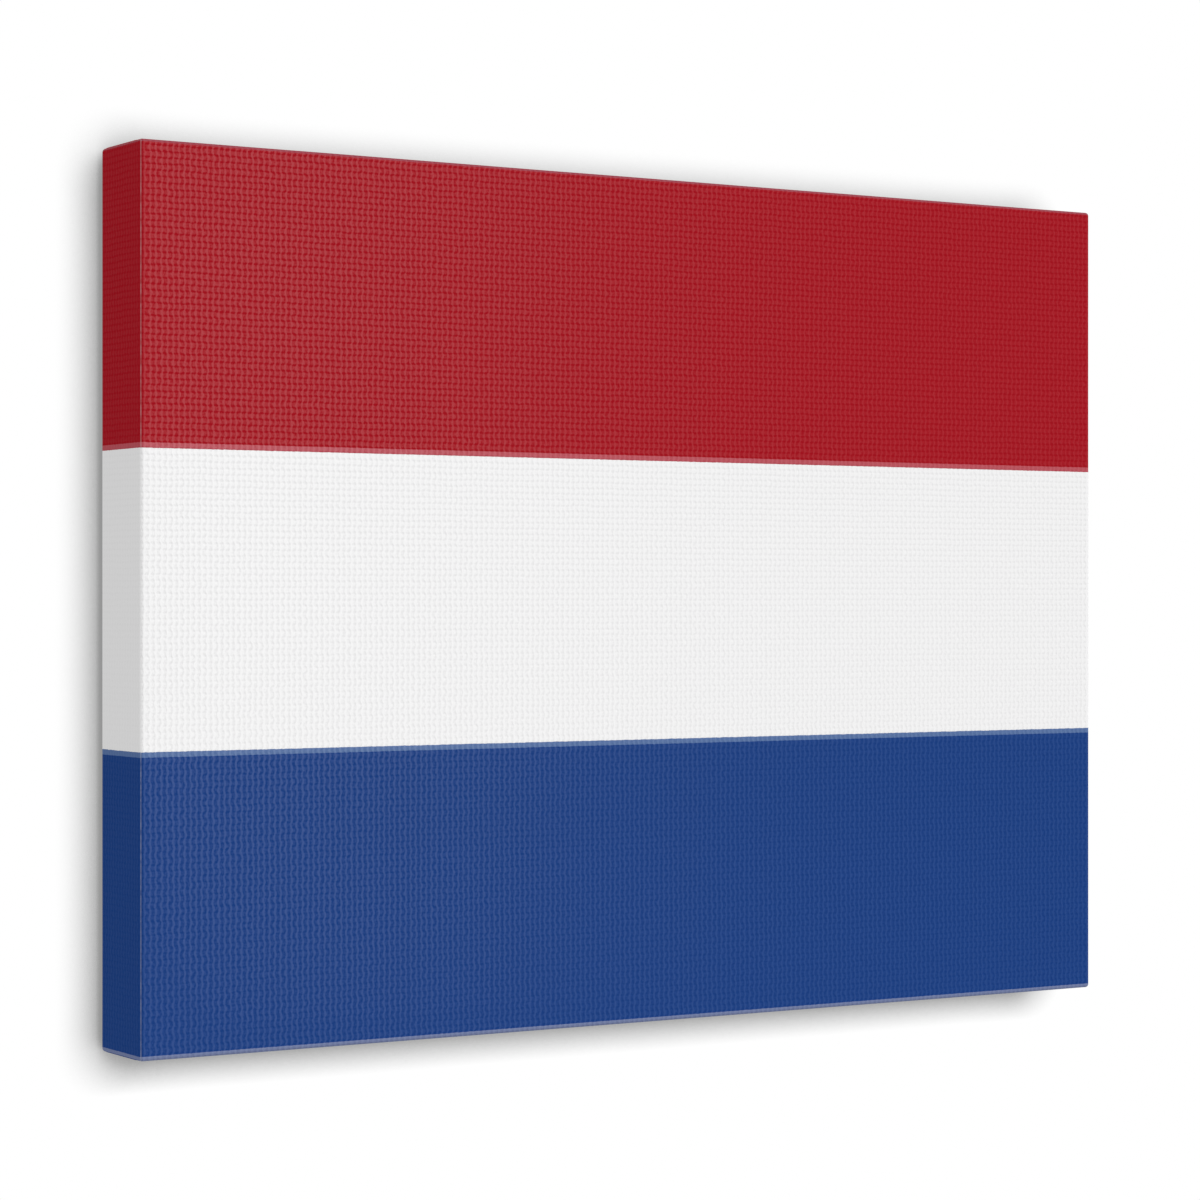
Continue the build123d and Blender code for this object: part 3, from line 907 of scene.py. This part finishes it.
def picture_wire(material):
    """A stranded wire with a loop and a wrapped tail at each ring."""
    path, start, out = wire_path()
    tangents = np.gradient(path, axis=0)
    lengths = np.concatenate([[0], np.cumsum(np.linalg.norm(np.diff(path, axis=0), axis=1))])
    tangents /= np.linalg.norm(tangents, axis=1)[:, None]
    across = np.cross(tangents, (0.0, 1.0, 0.0))
    flat = np.linalg.norm(across, axis=1) < 0.2
    across[flat] = np.cross(tangents[flat], (0.0, 0.0, 1.0))
    points, faces = [], []

    def add(line, radius):
        """Adds one strand."""
        more, quads = tube(line, radius, STRAND_SIDES)
        faces.extend([index + len(points) for index in quad] for quad in quads)
        points.extend(more)

    across /= np.linalg.norm(across, axis=1)[:, None]
    other = np.cross(tangents, across)
    for strand in range(STRANDS):
        phase = 2 * math.pi * strand / STRANDS
        angle = (2 * math.pi * lengths / STRAND_LAY + phase)[:, None]
        add(path + STRAND_ORBIT * (across * np.cos(angle) + other * np.sin(angle)), STRAND_RADIUS)

    depth = Vector((0, 1, 0))
    side = out.cross(depth).normalized()
    tail_orbit = STRAND_ORBIT + 2 * STRAND_RADIUS + TAIL_CLEARANCE
    tail = []
    for t in np.linspace(0, 1, TAIL_STEPS):
        angle = 2 * math.pi * t * TAIL_LENGTH / TAIL_PITCH
        round_wire = side * math.cos(angle) + depth * math.sin(angle)
        tail.append(start + out * (t * TAIL_LENGTH) + round_wire * tail_orbit)
    tail = np.array(tail)
    add(tail, TAIL_RADIUS)
    add(tail * (-1, 1, 1), TAIL_RADIUS)
    wire = mesh_object("braided_picture_wire", points, faces, [material])
    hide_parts("picture_wire")
    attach(wire, "hanging_wire")


def wall_bumper(side, material):
    """A turned rubber foot: a slight taper, a rounded rim and a shallow dish in its face."""
    low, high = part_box(f"wall_bumper_{side}")
    middle = (low + high) / 2
    radius, height = (high.x - low.x) / 2, high.y - low.y
    rim = FOOT_RIM * height
    outer = FOOT_TAPER * radius
    profile = [(radius, 0.0), (radius, FOOT_STRAIGHT * height), (outer, height - rim)]
    for angle in np.radians(FOOT_RIM_ANGLES):
        profile.append((outer - rim * (1 - math.cos(angle)), height - rim + rim * math.sin(angle)))
    profile += [(share_out * radius, share_up * height) for share_out, share_up in FOOT_DISH]
    points = []
    for r, y in profile:
        for turn in range(FOOT_SEGMENTS):
            angle = 2 * math.pi * turn / FOOT_SEGMENTS
            points.append((middle.x + r * math.cos(angle), low.y + y, middle.z + r * math.sin(angle)))
    faces = [list(range(FOOT_SEGMENTS))]
    for level in range(len(profile) - 1):
        for turn in range(FOOT_SEGMENTS):
            a = level * FOOT_SEGMENTS + turn
            b = level * FOOT_SEGMENTS + (turn + 1) % FOOT_SEGMENTS
            faces.append([a, a + FOOT_SEGMENTS, b + FOOT_SEGMENTS, b])
    last_ring = (len(profile) - 1) * FOOT_SEGMENTS
    faces.append([last_ring + turn for turn in reversed(range(FOOT_SEGMENTS))])
    foot = mesh_object(f"rubber_foot_{side}", points, faces, [material])
    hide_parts(f"wall_bumper_{side}")
    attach(foot, "frame")


# ---------------------------------------------------------------- CAD nodes


def paint(node, material):
    """Gives a CAD node a material."""
    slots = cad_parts[node].data.materials
    slots.clear()
    slots.append(material)


def paint_cad_nodes():
    """Materials for the CAD nodes that stay."""
    for bar in BARS:
        low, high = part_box(f"stretcher_bar_{bar}")
        level = bar in ("top", "bottom")
        length_axis = 0 if level else 2
        middle = (low + high) / 2
        away = PINE_HEART_OUTSIDE if bar in ("top", "left") else PINE_HEART_INSIDE
        pith = (middle.x + (0 if level else away), PINE_HEART_Y, middle.z + (away if level else 0))
        knot = KNOT_AT.get(bar)
        timber = wood(f"pine_{bar}", length_axis, pith, PINE_EARLY, PINE_LATE, PINE_RING, knot)
        paint(f"stretcher_bar_{bar}", timber)
        paint(f"staples_{bar}", STAPLE_STEEL)
    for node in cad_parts:
        if node.startswith("key_"):
            low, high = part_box(node)
            length_axis = 0 if high.x - low.x > high.z - low.z else 2
            middle = (low + high) / 2
            pith = (middle.x + BIRCH_HEART_X, BIRCH_HEART_Y, middle.z + BIRCH_HEART_Z)
            paint(node, wood(f"birch_{node}", length_axis, pith, BIRCH_EARLY, BIRCH_LATE, BIRCH_RING))
    for side in SIDES:
        paint(f"hanger_strap_{side}", NICKEL)
        paint(f"hanger_ring_{side}", NICKEL)
        paint(f"hanger_screw_{side}", YELLOW_ZINC)


# ---------------------------------------------------------------- stage


def stage_plane(name, corners, material):
    """One flat face of the stage, which belongs to no body."""
    made = mesh_object(name, corners, [[0, 1, 2, 3]], [material])
    return made


def wall_material():
    """A white wall that shows only from its front, with a soft shadow where the canvas hides the light."""
    shader = Shader("white_wall")
    tree = shader.tree
    tree.nodes.remove(shader.surface)
    x, y, z = WALL_LIGHT_FROM
    towards_light = shader.node("ShaderNodeCombineXYZ", X=x, Y=y, Z=z).outputs[0]
    openness = shader.node("ShaderNodeAmbientOcclusion", Distance=WALL_SHADOW_REACH, Normal=towards_light)
    brightness = shader.math("MULTIPLY_ADD", openness.outputs["AO"], WALL_SHADOW, 1.0 - WALL_SHADOW)
    brightness = shader.math("MAXIMUM", brightness, DARKEST_WALL)
    white = shader.node("ShaderNodeEmission", Color=rgb(1, 1, 1), Strength=brightness).outputs[0]
    clear = shader.node("ShaderNodeBsdfTransparent").outputs[0]
    from_behind = shader.node("ShaderNodeNewGeometry").outputs["Backfacing"]
    choose = shader.node("ShaderNodeMixShader", Fac=from_behind)
    tree.links.new(white, choose.inputs[1])
    tree.links.new(clear, choose.inputs[2])
    tree.links.new(choose.outputs[0], tree.nodes["Material Output"].inputs["Surface"])
    return shader.material


def floor_material():
    """Pale matt paint with a faint mottle."""
    shader = Shader("pale_floor")
    speckle = shader.noise(shader.place(), 40.0, 4.0)
    shader.set(
        Base_Color=shader.mix(speckle, rgb(0.92, 0.92, 0.92), rgb(0.94, 0.94, 0.94)),
        Roughness=0.9,
        Specular_IOR_Level=0.1,
    )
    return shader.material


def build_stage():
    """A white wall just behind the canvas, a pale floor below it, soft light and the camera."""
    half = STAGE_SIZE / 2
    wall_y = max(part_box(f"wall_bumper_{side}")[1].y for side in SIDES) + WALL_GAP
    floor_z = CANVAS_LOW.z - FLOOR_DROP
    wall = stage_plane(
        "wall",
        [(-half, wall_y, floor_z), (half, wall_y, floor_z), (half, wall_y, half), (-half, wall_y, half)],
        wall_material(),
    )
    wall.visible_diffuse = False
    wall.visible_glossy = False
    wall.visible_transmission = False
    wall.visible_shadow = False
    floor = stage_plane(
        "floor",
        [(-half, -half, floor_z), (half, -half, floor_z), (half, half, floor_z), (-half, half, floor_z)],
        floor_material(),
    )
    floor.visible_diffuse = False
    floor.visible_glossy = False
    soft_sky()
    front_sun = sun("front_sun", FRONT_SUN_FROM, FRONT_SUN_POWER)
    front_sun.visible_glossy = False
    sun("back_sun", BACK_SUN_FROM, BACK_SUN_POWER)
    sheen_box()
    bpy.context.scene.view_settings.view_transform = "Standard"


def soft_sky():
    """Even white light all round. Shiny things see a darker horizon, and the camera sees plain white."""
    world = bpy.data.worlds.new("soft_sky")
    bpy.context.scene.world = world
    world.use_nodes = True
    tree = world.node_tree
    background = tree.nodes["Background"]
    background.inputs["Color"].default_value = rgb(1, 1, 1)
    ray = tree.nodes.new("ShaderNodeLightPath")
    direction = tree.nodes.new("ShaderNodeTexCoord")
    towards_window = tree.nodes.new("ShaderNodeVectorMath")
    towards_window.operation = "DOT_PRODUCT"
    towards_window.inputs[1].default_value = WINDOW_FROM
    tree.links.new(direction.outputs["Generated"], towards_window.inputs[0])
    reflected = tree.nodes.new("ShaderNodeMapRange")
    for socket, value in REFLECTED_SKY.items():
        reflected.inputs[socket].default_value = value
    tree.links.new(towards_window.outputs["Value"], reflected.inputs["Value"])
    strength = SKY_LIGHT
    for kind, value in (("Is Glossy Ray", reflected.outputs["Result"]), ("Is Camera Ray", 1.0)):
        mix = tree.nodes.new("ShaderNodeMix")
        tree.links.new(ray.outputs[kind], mix.inputs["Factor"])
        for socket, source in (("A", strength), ("B", value)):
            if isinstance(source, bpy.types.NodeSocket):
                tree.links.new(source, mix.inputs[socket])
            else:
                mix.inputs[socket].default_value = source
        strength = mix.outputs["Result"]
    tree.links.new(strength, background.inputs["Strength"])

    # Sampling the sky directly would leave out the part that only shiny things see.
    world.cycles.sampling_method = "NONE"


def sun(name, direction, power):
    """Soft light of even strength everywhere, from one direction."""
    data = bpy.data.lights.new(name, "SUN")
    data.energy = power
    data.angle = SUN_SPREAD
    lamp = bpy.data.objects.new(name, data)
    lamp.rotation_euler = Vector(direction).to_track_quat("Z", "Y").to_euler()
    bpy.context.scene.collection.objects.link(lamp)
    return lamp


def sheen_box():
    """A tall area light that puts a faint sheen on the threads, brightest at the left of the canvas."""
    data = bpy.data.lights.new("sheen_box", "AREA")
    data.shape = "RECTANGLE"
    data.size = SHEEN_BOX_WIDTH
    data.size_y = SHEEN_BOX_HEIGHT
    data.energy = SHEEN_BOX_POWER
    lamp = bpy.data.objects.new("sheen_box", data)
    lamp.location = CENTRE + Vector(SHEEN_BOX_OFFSET)
    lamp.rotation_euler = Vector(SHEEN_BOX_OFFSET).to_track_quat("Z", "Y").to_euler()
    lamp.visible_camera = False
    lamp.visible_diffuse = False
    bpy.context.scene.collection.objects.link(lamp)


def build_camera():
    """A level camera to the left of the canvas, at its mid-height."""
    forward = Vector((math.sin(VIEW_YAW), math.cos(VIEW_YAW), 0))
    right = Vector((math.cos(VIEW_YAW), -math.sin(VIEW_YAW), 0))
    near_edge = Vector((CANVAS_LOW.x, FRONT_Y, CENTRE.z))
    data = bpy.data.cameras.new("camera")
    data.lens = LENS
    data.sensor_width = SENSOR
    camera = bpy.data.objects.new("camera", data)
    camera.location = near_edge - forward * NEAR_EDGE_DISTANCE + right * NEAR_EDGE_OFFSET
    camera.rotation_euler = forward.to_track_quat("-Z", "Y").to_euler()
    bpy.context.scene.collection.objects.link(camera)
    bpy.context.scene.camera = camera


STAPLE_STEEL = metal("staple_steel", rgb(0.50, 0.51, 0.53), rgb(0.42, 0.43, 0.45), 0.34, 300.0, 0.02 * MM)
NICKEL = metal("nickel_plate", rgb(0.68, 0.67, 0.64), rgb(0.53, 0.52, 0.49), 0.20, 350.0, 0.01 * MM)
YELLOW_ZINC = metal("yellow_zinc", rgb(0.80, 0.62, 0.30), rgb(0.62, 0.50, 0.30), 0.28, 500.0, 0.02 * MM)
WIRE_STEEL = metal("wire_steel", rgb(0.47, 0.47, 0.48), rgb(0.34, 0.34, 0.35), 0.45, 600.0, 0.02 * MM)
RUBBER = rubber()

canvas_fabric(printed_canvas(), raw_canvas())
picture_wire(WIRE_STEEL)
paint_cad_nodes()
for side in SIDES:
    wall_bumper(side, RUBBER)
build_stage()
build_camera()
